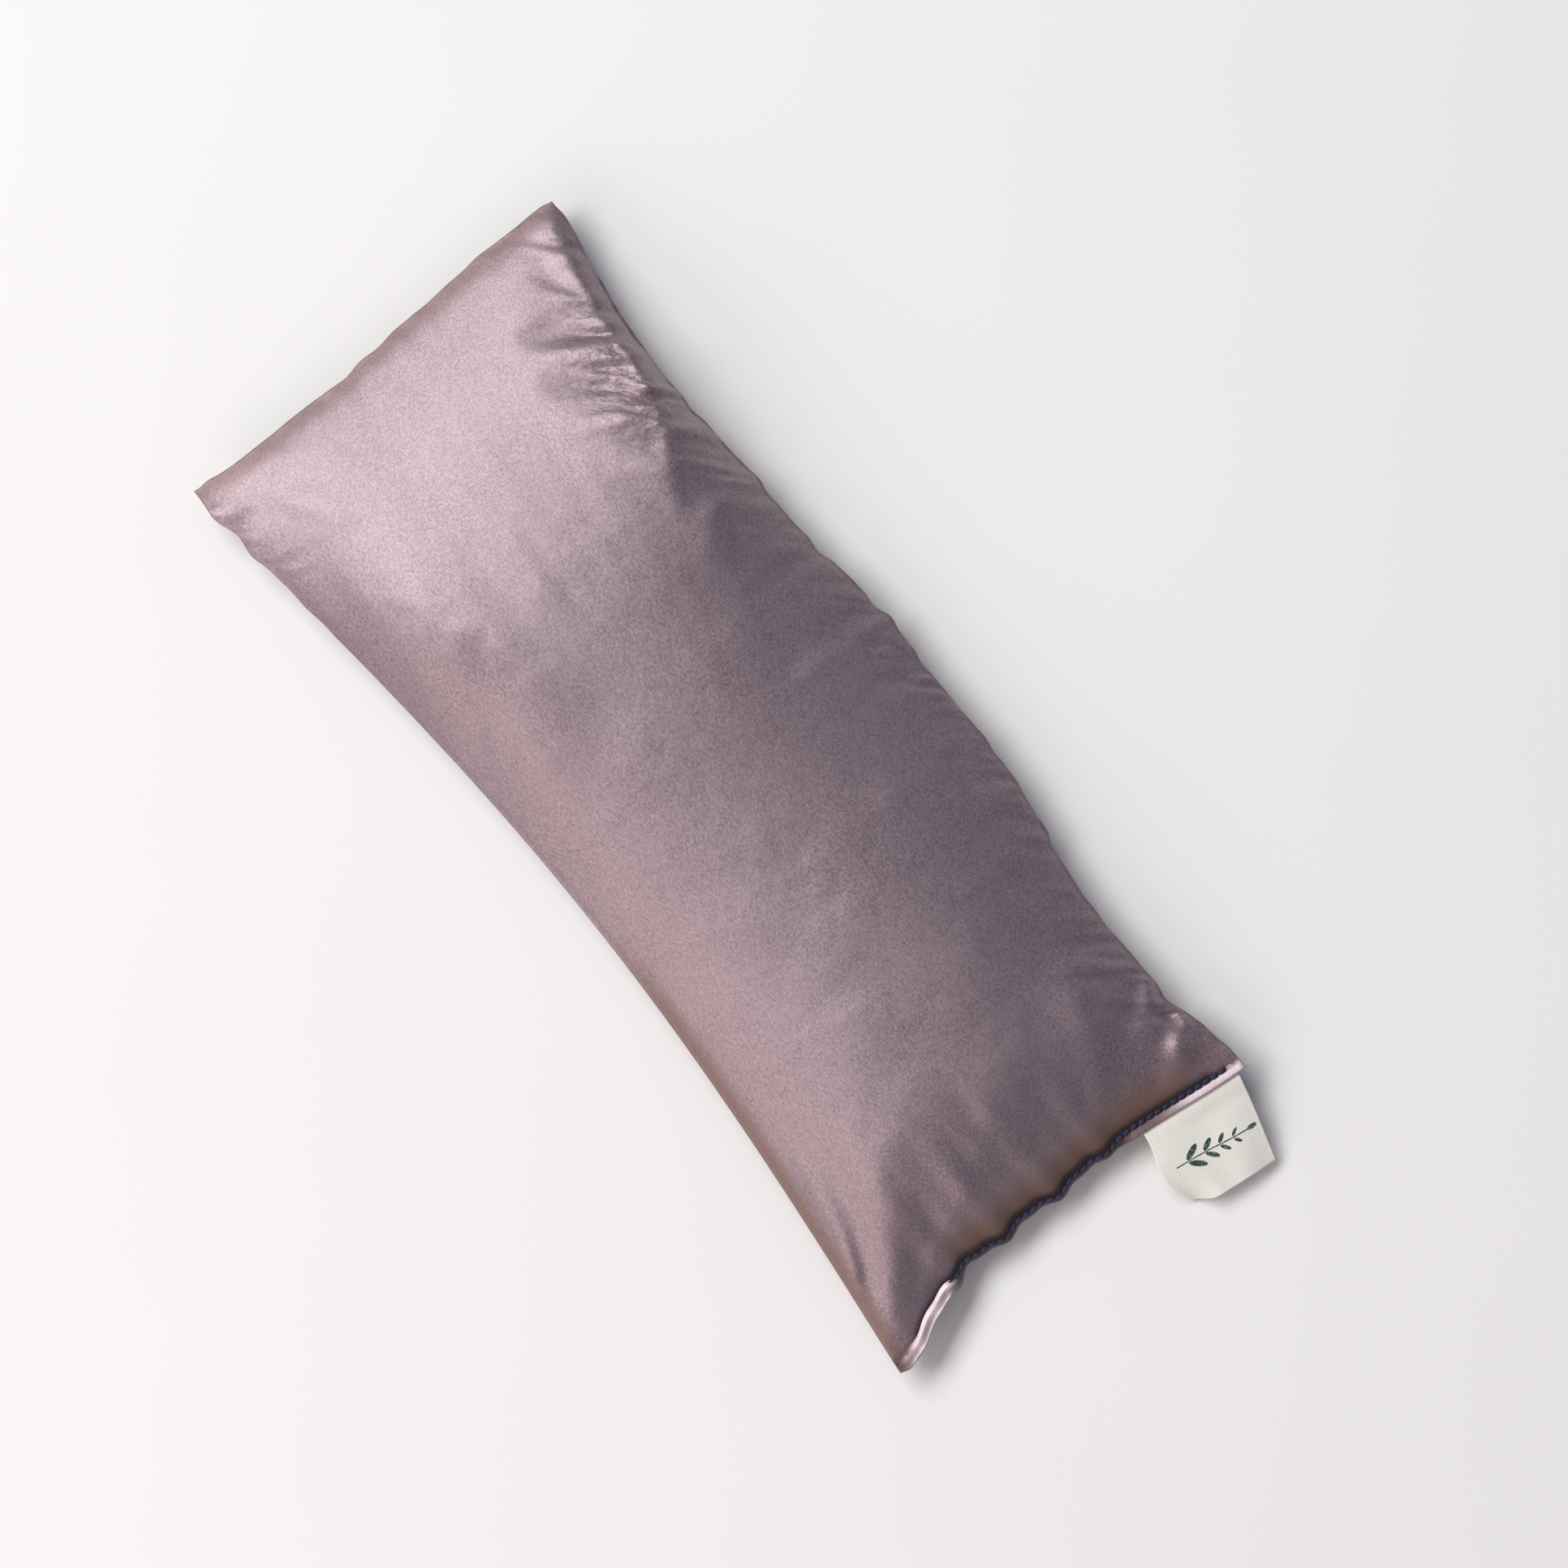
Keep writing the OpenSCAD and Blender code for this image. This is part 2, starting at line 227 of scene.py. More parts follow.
class Finish:
    # one material: a Principled shader and the nodes that vary its sockets
    def __init__(self, name, **fixed):
        self.material = bpy.data.materials.new(name)
        self.material.use_nodes = True
        self.nodes = self.material.node_tree.nodes
        self.links = self.material.node_tree.links
        self.shader = self.nodes["Principled BSDF"]
        for socket, value in fixed.items():
            self.shader.inputs[socket.replace("_", " ")].default_value = value

    def node(self, kind, settings=None, values=None, output=0):
        made = self.nodes.new(kind)
        for key, value in (settings or {}).items():
            if key == "stops":
                self.fillRamp(made.color_ramp, value)
            else:
                setattr(made, key, value)
        for key, value in (values or {}).items():
            self.feed(made.inputs[key], value)
        return Socket(self, made.outputs[output])

    def feed(self, socket, value):
        if isinstance(value, Socket):
            self.links.new(value.link, socket)
        elif isinstance(value, tuple) and socket.type == "RGBA":
            socket.default_value = (*value, 1)
        else:
            socket.default_value = value

    def fillRamp(self, ramp, stops):
        while len(ramp.elements) < len(stops):
            ramp.elements.new(0.5)
        for element, (place, shade) in zip(ramp.elements, stops):
            element.position = place
            element.color = (shade, shade, shade, 1)

    def into(self, socket, value):
        self.feed(self.shader.inputs[socket], value)

    def place(self, stretch=(1, 1, 1), turn=0):
        # object coordinates, turned about Z and then stretched
        where = self.node("ShaderNodeTexCoord", output="Object")
        turned = self.node("ShaderNodeMapping", {}, {"Vector": where, "Rotation": (0, 0, turn)})
        return self.node("ShaderNodeMapping", {}, {"Vector": turned, "Scale": stretch})

    def noise(self, size, detail, stretch=(1, 1, 1), turn=0, roughness=0.5):
        # cloudy values about size millimetres across
        values = {"Vector": self.place(stretch, turn), "Scale": 1 / (size * mm), "Detail": detail,
                  "Roughness": roughness}
        return self.node("ShaderNodeTexNoise", {}, values)

    def ramp(self, value, stops):
        return self.node("ShaderNodeValToRGB", {"stops": stops}, {0: value})

    def mixColour(self, share, first, second):
        # colours a and b of a Mix node are its inputs 6 and 7, and its result is output 2
        return self.node("ShaderNodeMix", {"data_type": "RGBA"}, {0: share, 6: first, 7: second}, output=2)

    def attribute(self, name):
        return self.node("ShaderNodeAttribute", {"attribute_name": name}, output="Fac")

    def relief(self, height, depth, strength):
        # bump of that depth in millimetres
        values = {"Height": height, "Distance": depth * mm, "Strength": strength}
        self.into("Normal", self.node("ShaderNodeBump", {}, values))


print("frame loaded, bag", round(bagLength), "x", round(bagWidth), "x", round(crownTop), "mm")

# finishes
silkLook = {
    "dye": (0.188, 0.139, 0.161),  # plant-dyed mauve
    "dyePale": (0.238, 0.18, 0.203),
    "thread": (0.34, 0.27, 0.298),  # painted sheen where the warp floats catch the light
    "warm": (0.165, 0.092, 0.066),  # painted warm reflection of the table beside the hem and the far end, and painted warm light along the low edge
    "groove": (0.012, 0.010, 0.018),  # painted shade along the needle holes
    "lip": (0.45, 0.37, 0.405),  # painted light on the folded lips where they stand up to the light
    "roughness": 0.5,
    "metal": 0.74,  # share of the silk's coloured sheen
}


def makeSilk():
    finish = Finish("silkSatin", Specular_IOR_Level=0.5, Sheen_Weight=0.12, Sheen_Roughness=0.4)
    look = silkLook
    clouds = finish.noise(26, 3)
    flecks = finish.noise(3.2, 2)
    floats = finish.noise(0.3, 3, stretch=(0.34, 1.3, 1), roughness=0.65)  # warp floats lie along the bag
    picks = finish.noise(0.34, 2, stretch=(1.3, 0.4, 1), roughness=0.65)
    weave = floats * 0.65 + picks * 0.35
    patches = finish.ramp(clouds * 0.6 + flecks * 0.4, [(0.36, 0), (0.66, 1)])
    dye = finish.mixColour(patches, look["dye"], look["dyePale"])
    # painted sheen: a paler colour on the warp floats
    dye = finish.mixColour(finish.ramp(weave, [(0.43, 0), (0.57, 0.9)]), dye, look["thread"])
    # painted light on the lips that stand up
    dye = finish.mixColour(finish.attribute("lip"), dye, look["lip"])
    # painted warm reflection of the table and painted warm light along the edges, with a duller, less
    # metallic finish there
    warm = finish.attribute("warm")
    dye = finish.mixColour(warm, dye, look["warm"])
    # painted shade along the hem's stitching, over all the other colours
    finish.into("Base Color", finish.mixColour(finish.attribute("groove"), dye, look["groove"]))
    finish.into("Metallic", look["metal"] * (1 - 0.55 * warm))
    finish.into("Roughness", look["roughness"] + 0.1 * (weave - 0.5) + 0.06 * (flecks - 0.5) + 0.14 * warm)
    # fine crinkles where the seams gather the cloth, leaning the way the puckers lean
    crinkles = finish.noise(2.1, 2, stretch=(0.55, 1, 1), turn=-0.9) * finish.attribute("crinkle")
    finish.relief(weave * 0.26 + flecks * 0.16 + finish.noise(7, 2) * 0.2 + crinkles * 2.8, 0.35, 0.8)
    return finish.material


def makeThread(name, colour, lit):
    # twisted plies: painted light and shade in bands that lean across each stitch
    finish = Finish(name, Sheen_Weight=0.05, Specular_IOR_Level=0.3)
    plies = finish.node("ShaderNodeTexWave", {"bands_direction": "DIAGONAL"},
                        {"Vector": finish.place(), "Scale": 900, "Distortion": 1.2, "Detail": 1})
    fibres = finish.noise(0.12, 2)
    # painted light and shade on the plies, from the dark colour to the lit one
    finish.into("Base Color", finish.mixColour(plies * 0.6 + fibres * 0.4, colour, lit))
    finish.into("Roughness", 0.5 + 0.25 * fibres)
    finish.relief(plies + fibres, 0.05, 0.6)
    return finish.material


labelLook = {
    "cotton": (0.66, 0.655, 0.60),
    "cottonPale": (0.76, 0.755, 0.71),
    "ink": (0.018, 0.05, 0.04),  # dark green print
    "leaves": 4,
    "sprig": (9.0, 3.8),  # half length of the sprig and length of its largest leaf
    "lean": math.radians(38),  # of a leaf from the stem
    "threads": (0.5, 0.42),  # spacing of the warp and of the weft
}


def makeLabelCotton(width, length):
    # plain-weave cotton tape with a printed sprig; threads and print follow the tape's UV map
    look = labelLook
    finish = Finish("labelCotton", Sheen_Weight=0.2, Specular_IOR_Level=0.25)
    uv = finish.node("ShaderNodeUVMap", {"uv_map": "tape"})
    split = finish.node("ShaderNodeSeparateXYZ", {}, {0: uv})
    across = (split - 0.5) * width
    along = (Socket(finish, split.link.node.outputs[1]) - 0.5) * length
    warpGap, weftGap = look["threads"]
    warp = (across * (2 * math.pi / warpGap)).sine() * 0.5 + 0.5
    weft = (along * (2 * math.pi / weftGap)).sine() * 0.5 + 0.5
    slubs = finish.noise(1.1, 2, stretch=(0.35, 1.5, 1))
    cloth = finish.mixColour(warp * weft * 0.5 + slubs * 0.5, look["cotton"], look["cottonPale"])
    # the sprig: a stem across the tape and pairs of leaves that get smaller towards its tip
    reach, leafLength = look["sprig"]
    centred = along - length * 0.12
    side = (centred - (across * (math.pi / reach / 2)).sine() * 0.5).absolute()
    ink = (side < 0.16) * (across.absolute() < reach)
    lean = look["lean"]
    for step in range(look["leaves"]):
        root = -reach * 0.72 + step * reach * 0.42
        half = leafLength * (1 - 0.14 * step) / 2
        u = across - (root + half * math.cos(lean))
        v = side - (0.35 + half * math.sin(lean))
        axial = (u * math.cos(lean) + v * math.sin(lean)) / half
        cross = (v * math.cos(lean) - u * math.sin(lean)) / (half * 0.36)
        ink = ink.larger((axial * axial + cross * cross) < 1)
    tipU, tipV = (across - reach - 1.1) / 1.3, side / 0.55  # one leaf on the stem's tip
    ink = ink.larger((tipU * tipU + tipV * tipV) < 1)
    worn = finish.ramp(finish.noise(0.5, 2), [(0.3, 0.72), (0.5, 1)])
    finish.into("Base Color", finish.mixColour(ink * worn, cloth, look["ink"]))
    finish.into("Roughness", 0.86 - 0.12 * ink)
    finish.relief(warp * weft * 0.6 + slubs * 0.6, 0.12, 0.8)
    return finish.material


def makeMuslin():
    # unbleached plain weave: threads both ways from two stretched noises
    finish = Finish("muslin", Roughness=0.9, Sheen_Weight=0.2, Specular_IOR_Level=0.2)
    warp = finish.noise(0.6, 1, stretch=(0.2, 1.6, 1))
    weft = finish.noise(0.6, 1, stretch=(1.6, 0.2, 1))
    tone = finish.mixColour(warp * 0.5 + weft * 0.5, (0.62, 0.55, 0.43), (0.78, 0.72, 0.6))
    finish.into("Base Color", tone)
    finish.relief(warp + weft, 0.15, 0.8)
    return finish.material


def makeSeedFinish():
    # glossy brown seed, each with its own shade of brown, and painted shade in the gaps between seeds
    finish = Finish("flaxseed", Specular_IOR_Level=0.6)
    cells = finish.node("ShaderNodeTexVoronoi", {}, {"Vector": finish.place((0.7, 1.3, 1)), "Scale": 420})
    shade = finish.noise(2.0, 1)
    seed = finish.mixColour(shade, (0.13, 0.05, 0.018), (0.34, 0.17, 0.06))
    # painted shade in the gaps between seeds
    paintedGapShade = finish.ramp(cells, [(0.4, 0), (0.75, 0.85)])
    finish.into("Base Color", finish.mixColour(paintedGapShade, seed, (0.03, 0.012, 0.006)))
    finish.into("Roughness", 0.3 + 0.3 * cells)
    finish.relief(1 - cells, 0.5, 0.7)
    return finish.material


def makeBudFinish():
    # dry violet buds with greenish ribs
    finish = Finish("lavenderBud", Roughness=0.85, Sheen_Weight=0.4)
    ribs = finish.noise(0.5, 2, stretch=(1, 1, 0.4))
    hue = finish.mixColour(finish.noise(1.6, 2), (0.12, 0.1, 0.24), (0.32, 0.26, 0.4))
    finish.into("Base Color", finish.mixColour(ribs, hue, (0.22, 0.24, 0.2)))
    finish.relief(ribs, 0.2, 0.8)
    return finish.material


def makeTable():
    finish = Finish("paleTable", Roughness=0.9, Specular_IOR_Level=0.1)
    finish.into("Base Color", finish.mixColour(finish.noise(90, 2), (0.715,) * 3, (0.735,) * 3))
    return finish.material


silk = makeSilk()
seamThread = makeThread("mauveThread", (0.30, 0.24, 0.29), (0.42, 0.35, 0.40))
hemThread = makeThread("navyThread", (0.004, 0.005, 0.015), (0.028, 0.031, 0.075))
muslin = makeMuslin()
flax = makeSeedFinish()
lavender = makeBudFinish()
print("finishes made")

# the bag's outline and height
bag = {
    "cloth": 0.3,  # thickness of the silk
    "turnIn": 6.0,  # cloth turned in along every edge
    "foldOut": 0.33,  # outer radius of a folded edge
    "seamGap": 0.05,  # half the space between the panels at a turned seam
    "labelSlot": 0.31,  # half the space between the lips beside the label
    "hemFlat": 3.2,  # from the hem's edge to where the filling starts
    "stitchIn": 2.2,  # from the hem's edge to its stitching
    "wedge": 66.0,  # run of the slope from the far end to the level part
    "knee": 5.0,  # how softly that slope turns level
    "hemRise": 32.0,  # run of the slope from the hem
    "sideRise": 46.0,  # run of the slope from a long edge
    "farRiseLow": 22.0,  # the same beside the far end, where the bag is thin and level
    "farRiseHigh": 4.5,
    "shoulder": 0.78,  # how blunt the rise from a long edge is, less is blunter
    "belly": 18.0,  # run of the underside's rise to a seam
    "crumple": 0.34,  # height of the fine crumples beside the gathered edge
    "lipTurn": math.radians(62),  # how far the lips hang down past the stitching
    "rows": 330,  # grid along the bag
    "columns": 132,  # grid across it
}
foldHeight = 2 * bag["foldOut"] + bag["seamGap"]  # outer cloth over the seam plane at an edge
crownRise = crownTop - seamZ - foldHeight


def lowEdge(x):
    # long edge on the -Y side: one long hollow
    u = np.clip(np.abs(x - 4) / 124, 0, 1)
    ripple = 0.32 * softNoise(x, 0 * x, 5.5, 11) * ease((-x - 70) / 30)
    return -0.507 * bagWidth + 9.4 * np.cos(np.pi / 2 * u) ** 1.05 + ripple


def highEdge(x):
    # long edge on the +Y side: two hollows near its ends, with the seam's small scallops
    hollow = 5.4 * bump((x + 82) / 48) + 3.2 * bump((x + 38) / 44)
    hollow = hollow + 5.0 * bump((x - 80) / 50) + 1.5 * bump((x - 101) / 10)
    scallops = 0.42 * softNoise(x, 0 * x, 4.2, 12) * bump(x / 132) ** 0.3
    blunt = 0.6 * bump((x - bagFar) / 4)
    return 0.501 * bagWidth - hollow + scallops - blunt


def farEdge(y):
    # far end: leans a little, with small scallops
    lean = 2.1 * ease((y + 12) / 45) + 1.5 * bump((y + 54) / 14)
    lean = lean - 0.6 * bump((bagWidth / 2 - np.abs(y)) / 3.5)  # blunt corners
    return bagFar + 1.8 - lean + 0.3 * softNoise(y, 0 * y, 5, 13) * bump(y / 52) ** 0.5


def hemEdge(y):
    # closing hem: nearly straight, with an ear at each corner and slack waves between
    ears = 8.2 * ease((-y - 25) / 25) + 3.3 * ease((y - 14) / 40)
    waves = 0.7 * np.sin(2 * np.pi * (y + 3) / 15.5) + 0.3 * np.sin(2 * np.pi * y / 7.3 + 1)
    middle = (1 - ease((y - 10) / 12)) * (1 - 0.6 * ease((-y - 24) / 10))
    return -bagFar - 5.4 + ears + (waves + 0.9) * middle


def planOf(s, t, inset=0.0):
    # plan point at share s along and t across, with the outline drawn in by inset
    s = (inset + s * (bagLength - 2 * inset)) / bagLength
    t = (inset + t * (bagWidth - 2 * inset)) / bagWidth
    y = (t - 0.5) * bagWidth
    x = bagFar + bagLength * s
    y = lowEdge(x) + (highEdge(x) - lowEdge(x)) * t
    x = farEdge(y) + (hemEdge(y) - farEdge(y)) * s
    return x, y, s * bagLength, t * bagWidth


def rampUp(distance, run, power):
    # quarter sine over the run, blunter when the power is smaller
    return np.sin(np.pi / 2 * np.clip(distance / run, 0, 1)) ** power


def earShare(y):
    # 1 on the ear away from the label, where the lips stand flat and turn up
    return ease((-y - 25) / 7) * (1 - 0.6 * ease((-y - 46) / 5))


def hemHeight(y, fromHem):
    # height of the hem's middle over the seam plane: the lips turn up at the ear, and a
    # little over the label
    edge = np.clip(1 - fromHem / bag["stitchIn"], 0, 1)
    ear = earShare(y)
    wave = 0.35 * np.sin(2 * np.pi * (y + 4) / 7.5) * ear
    return (1.5 * ear + wave + 0.5 * ease((y - 26) / 14)) * edge ** 1.3


def turnLips(x, z, y, fromHem):
    # between the ears the lips hang: past the stitching they turn about its line by an
    # angle a, u' = u cos a + w sin a and w' = w cos a - u sin a
    share = (1 - earShare(y)) * (1 - ease((y - 16) / 7))
    beyond = bag["stitchIn"] - fromHem
    first = -1.3  # the turn starts this far short of the stitching
    angle = bag["lipTurn"] * share * ease((beyond - first) / 2.2)
    u, w = np.maximum(beyond, first), z - seamZ
    turnedU = u * np.cos(angle) + w * np.sin(angle)
    turnedW = w * np.cos(angle) - np.maximum(u, 0) * np.sin(angle)
    near = beyond > first
    return x + np.where(near, turnedU - u, 0), np.where(near, seamZ + turnedW, z)


def slopeOfEnds(fromFar, fromHem):
    # a straight wedge up from the far end that turns level at a soft knee, 1 minus
    # knee / wedge * log(1 + exp((1 - rising) * wedge / knee)), and a rounded slope to the hem
    wedge, knee = bag["wedge"], bag["knee"]
    rising = (fromFar + 6 * rampUp(fromFar, 9, 1)) / (wedge + 6)
    level = 1 - knee / wedge * np.log1p(np.exp(np.clip((1 - rising) * wedge / knee, -40, 40)))
    start = 1 - knee / wedge * np.log1p(np.exp(wedge / knee))
    level = (level - start) / (1 - start)
    dip = 0.055 * bump((fromFar - 150) / 54)  # the top sinks a little between its two ends
    return (np.clip(level, 0, 1.02) - dip) * rampUp(fromHem - bag["hemFlat"], bag["hemRise"], 0.85)


# long folds: start x, y, end x, y, width and height, all in millimetres
longFolds = [
    (116, -44, 62, -20, 5.5, 0.75),  # from the near corner, back along the bag
    (116, -40, 70, -4, 5.0, -0.6),
    (114, -34, 84, 8, 4.5, 0.4),
    (112, -46, 52, -32, 4.0, -0.8),
    (108, -48, 74, -38, 3.0, 0.7),
    (104, 6, 66, 26, 6.0, -0.5),  # slanted folds before the hem
    (108, 20, 60, 38, 5.0, 0.9),
    (100, -14, 58, 6, 7.0, -0.35),
    (94, 30, 52, 14, 6.0, 0.6),
    (92, 49, 103, 37, 3.2, 1.8),  # short bright creases at the label's corner
    (103, 49, 112, 38, 3.0, 2.2),
    (107, 46, 92, 36, 2.6, -1.3),
    (114, 34, 98, 22, 4.0, -0.8),
    (-38, -40, -52, -30, 5.5, -0.75),  # dent in the long hollow
    (-30, -42, -62, -22, 8.0, -0.6),
    (-60, 40, -24, 14, 7.0, -1.0),  # shade past the knee
    (-50, 46, -38, 26, 4.0, 0.8),
    (-56, 20, -52, -20, 7.0, 0.5),
    (-98, 45, -112, 27, 3.0, 0.5),  # slanted crinkles where the high edge is gathered
    (-88, 44, -104, 24, 2.6, -0.6),
    (-80, 44, -98, 22, 3.2, 0.7),
    (-71, 44, -90, 20, 3.0, -0.8),
    (-62, 45, -82, 18, 3.4, 0.7),
    (-55, 46, -72, 24, 3.0, -0.7),
    (-112, -38, -92, -22, 5.0, 0.6),
    (-20, 30, 24, 20, 9.0, -0.6),
    (10, -30, 56, -14, 9.0, -0.6),
]
# small puckers along each edge; strong holds places with more of them: middle, half length, gain
edgePuckers = {
    "high": {"count": 82, "span": (-116, 116), "slant": 0.80, "reach": (4, 16), "width": (0.8, 2.1),
             "depth": (0.6, 1.6), "strong": ((-76, 36, 1.1), (20, 30, 0.8), (96, 22, 0.9)), "seed": 21},
    "low": {"count": 66, "span": (-118, 118), "slant": -0.35, "reach": (3, 8), "width": (0.7, 1.5),
            "depth": (0.2, 0.7), "strong": ((-98, 24, 1.2), (-42, 12, 0.5), (104, 16, 0.7)), "seed": 22},
    "far": {"count": 22, "span": (-44, 44), "slant": 0.2, "reach": (4, 10), "width": (1.0, 2.2),
            "depth": (0.12, 0.4), "strong": ((0, 60, 0.9),), "seed": 23},
    "hem": {"count": 26, "span": (-46, 46), "slant": 0.3, "reach": (4, 13), "width": (1.0, 2.6),
            "depth": (0.12, 0.4), "strong": ((-38, 18, 1.0), (0, 34, 0.5), (40, 14, 0.8)), "seed": 24},
}


def puckerField(along, inward, settings):
    # each pucker is a narrow trough from the seam inwards, leaning by the slant:
    # -depth * exp(-(offset / width)^2), growing over the first millimetres and then fading
    rng = np.random.default_rng(settings["seed"])
    first, last = settings["span"]
    total = np.zeros_like(along)
    count = settings["count"]
    for step in range(count):
        place = first + (last - first) * (step + rng.uniform(0.1, 0.9)) / count
        strength = max(gain * bump((place - middle) / (2.2 * half))
                       for middle, half, gain in settings["strong"])
        reach = rng.uniform(*settings["reach"]) * (0.55 + 0.45 * strength)
        width = rng.uniform(*settings["width"])
        depth = rng.uniform(*settings["depth"]) * (0.2 + 0.8 * strength)
        slant = settings["slant"] * rng.uniform(0.6, 1.3)
        offset = (along - place + slant * inward) / (width * (1 + inward / reach * 0.8))
        fade = ease(inward / 1.8 + 0.25) * np.exp(-(np.maximum(inward, 0) / reach) ** 2)
        total = total - depth * (np.exp(-offset ** 2) - 0.45 * np.exp(-(offset * 0.5) ** 2)) * fade
    return total


def foldField(x, y):
    # each long fold is a ridge or a trough along a line: height * exp(-(distance / width)^2),
    # wider and lower towards its end
    total = np.zeros_like(x)
    for x0, y0, x1, y1, width, height in longFolds:
        dx, dy = x1 - x0, y1 - y0
        length = math.hypot(dx, dy)
        u = ((x - x0) * dx + (y - y0) * dy) / length ** 2
        v = ((y - y0) * dx - (x - x0) * dy) / length
        bow = v + 0.06 * length * np.sin(np.pi * u)
        spread = width * (0.55 + 0.75 * np.clip(u, 0, 1))
        taper = ease((u + 0.12) / 0.3) * (1 - ease((u - 0.55) / 0.6))
        total = total + 1.1 * height * np.exp(-(bow / spread) ** 2) * taper
    return total


def relaxedHeight(s, t, side):
    # the panel before the cloth is simulated; side is 1 on top and -1 underneath
    x, y, fromFar, fromLow = planOf(s, t)
    fromHem = bagLength - fromFar
    fromHigh = bagWidth - fromLow
    lips = hemHeight(y, fromHem)
    inside = ease((fromHem - bag["hemFlat"]) / 5)
    if side > 0:
        # a long edge's rise is short beside the far end and gets longer along the bag
        lowRun = bag["farRiseLow"] + (bag["sideRise"] - bag["farRiseLow"]) * ease((x + 82) / 76)
        highRun = bag["farRiseHigh"] + (bag["sideRise"] - bag["farRiseHigh"]) * ease((x + 84) / 74)
        across = rampUp(fromLow, lowRun, bag["shoulder"]) * rampUp(fromHigh, highRun, bag["shoulder"])
        height = crownRise * slopeOfEnds(fromFar, fromHem) * across
        height = height + foldField(x, y) * rampUp(np.minimum(fromLow, fromHigh), 3, 1) * inside
        height = height + puckerField(x, fromHigh, edgePuckers["high"]) * inside
        height = height + puckerField(x, fromLow, edgePuckers["low"]) * inside
        # fine crumples in a band along the high edge, mostly in its first hollow
        band = np.exp(-((fromHigh - 6) / 9) ** 2) * (bump((x + 80) / 60) + 0.5 * bump((x - 40) / 70))
        crumple = softNoise(x + 0.8 * fromHigh, fromHigh * 0.5, 2.5, 33)
        height = height + bag["crumple"] * crumple * band * inside
        height = height + puckerField(y, fromFar, edgePuckers["far"])
        height = height + puckerField(y, fromHem - bag["hemFlat"], edgePuckers["hem"]) * inside
        lumps = 0.2 * softNoise(x, y, 14, 31) + 0.05 * softNoise(x, y, 6.5, 32)
        nearest = np.minimum.reduce([fromLow, fromHigh, fromFar, fromHem - 3])
        height = height + lumps * rampUp(nearest, 12, 1)
    else:
        run = bag["belly"]
        drop = rampUp(fromLow, run, 0.8) * rampUp(fromHigh, run, 0.8)
        drop = drop * rampUp(fromFar, run, 0.8) * rampUp(fromHem - bag["hemFlat"], run, 0.8)
        height = -(seamZ - foldHeight) * drop
        height = height - 0.6 * puckerField(x, fromHigh, edgePuckers["low"]) * inside
        height = height - 0.6 * puckerField(x, fromLow, edgePuckers["high"]) * inside
    return x, y, seamZ + lips + height


clothRun = {
    "rows": 112,
    "columns": 46,
    "scale": 10,  # the cloth solver works best on a tenfold model
    "frames": 24,
    "pressure": 0.6,
    "furthest": 4,  # cap on how far a point may move
}


def simulateBag():
    # cloth simulation of the two panels sewn round their border, filled by a light pressure;
    # gives how far each point of both panels moves, on a coarser grid
    scale = clothRun["scale"]
    s, t = shareGrid(clothRun)
    top = np.stack(relaxedHeight(s, t, 1), -1)
    under = np.stack(relaxedHeight(s, t, -1), -1)
    index = np.arange(s.size).reshape(s.shape)
    underIndex, inner = pairOf(index)
    points = np.concatenate([top.reshape(-1, 3), under[inner]])
    faces = np.concatenate([quadsOf(index), quadsOf(underIndex)[:, ::-1]])
    mesh = bpy.data.meshes.new("looseBag")
    mesh.from_pydata((points * mm * scale).tolist(), [], faces.tolist())
    looseBag = bpy.data.objects.new("looseBag", mesh)
    bpy.context.scene.collection.objects.link(looseBag)
    held = (s < 1e-6) | (s > 1 - bag["hemFlat"] / bagLength) | (t < 1e-6) | (t > 1 - 1e-6)
    pinned = np.concatenate([index[held], underIndex[held]])
    group = looseBag.vertex_groups.new(name="sewn")
    group.add(np.unique(pinned).tolist(), 1.0, "REPLACE")
    cloth = looseBag.modifiers.new("cloth", "CLOTH")
    settings = cloth.settings
    settings.quality = 5
    settings.mass = 0.01
    settings.tension_stiffness = settings.compression_stiffness = 60
    settings.shear_stiffness = 18
    settings.bending_stiffness = 0.02
    settings.vertex_group_mass = "sewn"
    settings.use_pressure = True
    settings.uniform_pressure_force = clothRun["pressure"]
    settings.effector_weights.gravity = 0
    cloth.collision_settings.use_collision = False
    scene = bpy.context.scene
    cloth.point_cache.frame_start, cloth.point_cache.frame_end = 1, clothRun["frames"]
    for step in range(1, clothRun["frames"] + 1):
        scene.frame_set(step)
    settled = looseBag.evaluated_get(bpy.context.evaluated_depsgraph_get()).to_mesh()
    moved = np.empty(len(points) * 3)
    settled.vertices.foreach_get("co", moved)
    shift = moved.reshape(-1, 3) / (mm * scale) - points
    shift = np.clip(shift, -clothRun["furthest"], clothRun["furthest"])
    bpy.data.objects.remove(looseBag)
    bpy.data.meshes.remove(mesh)
    scene.frame_set(1)
    return s[:, 0], t[0], shift[index], shift[underIndex]


settled = simulateBag()
coarseRows, coarseColumns, topShift, underShift = settled
print("cloth settled, top moved up to", round(float(np.abs(topShift).max()), 2), "mm")


def gridShares():
    # shares along and across; the rows are closer together over the hem's lips
    lipStart, lipRows = 1 - 4.2 / bagLength, 13
    body = np.linspace(0, lipStart, bag["rows"] - lipRows + 1)
    lips = np.linspace(lipStart, 1, lipRows + 1)[1:]
    return np.concatenate([body, lips]), np.linspace(0, 1, bag["columns"] + 1)


def settledPanel(s, t, side):
    # the relaxed panel with the simulated movement added
    shift = topShift if side > 0 else underShift
    x, y, z = relaxedHeight(s, t, side)
    parts = [softLookUp(shift[:, :, axis], s, t, coarseRows, coarseColumns) for axis in range(3)]
    return x + parts[0], y + parts[1], z + parts[2]


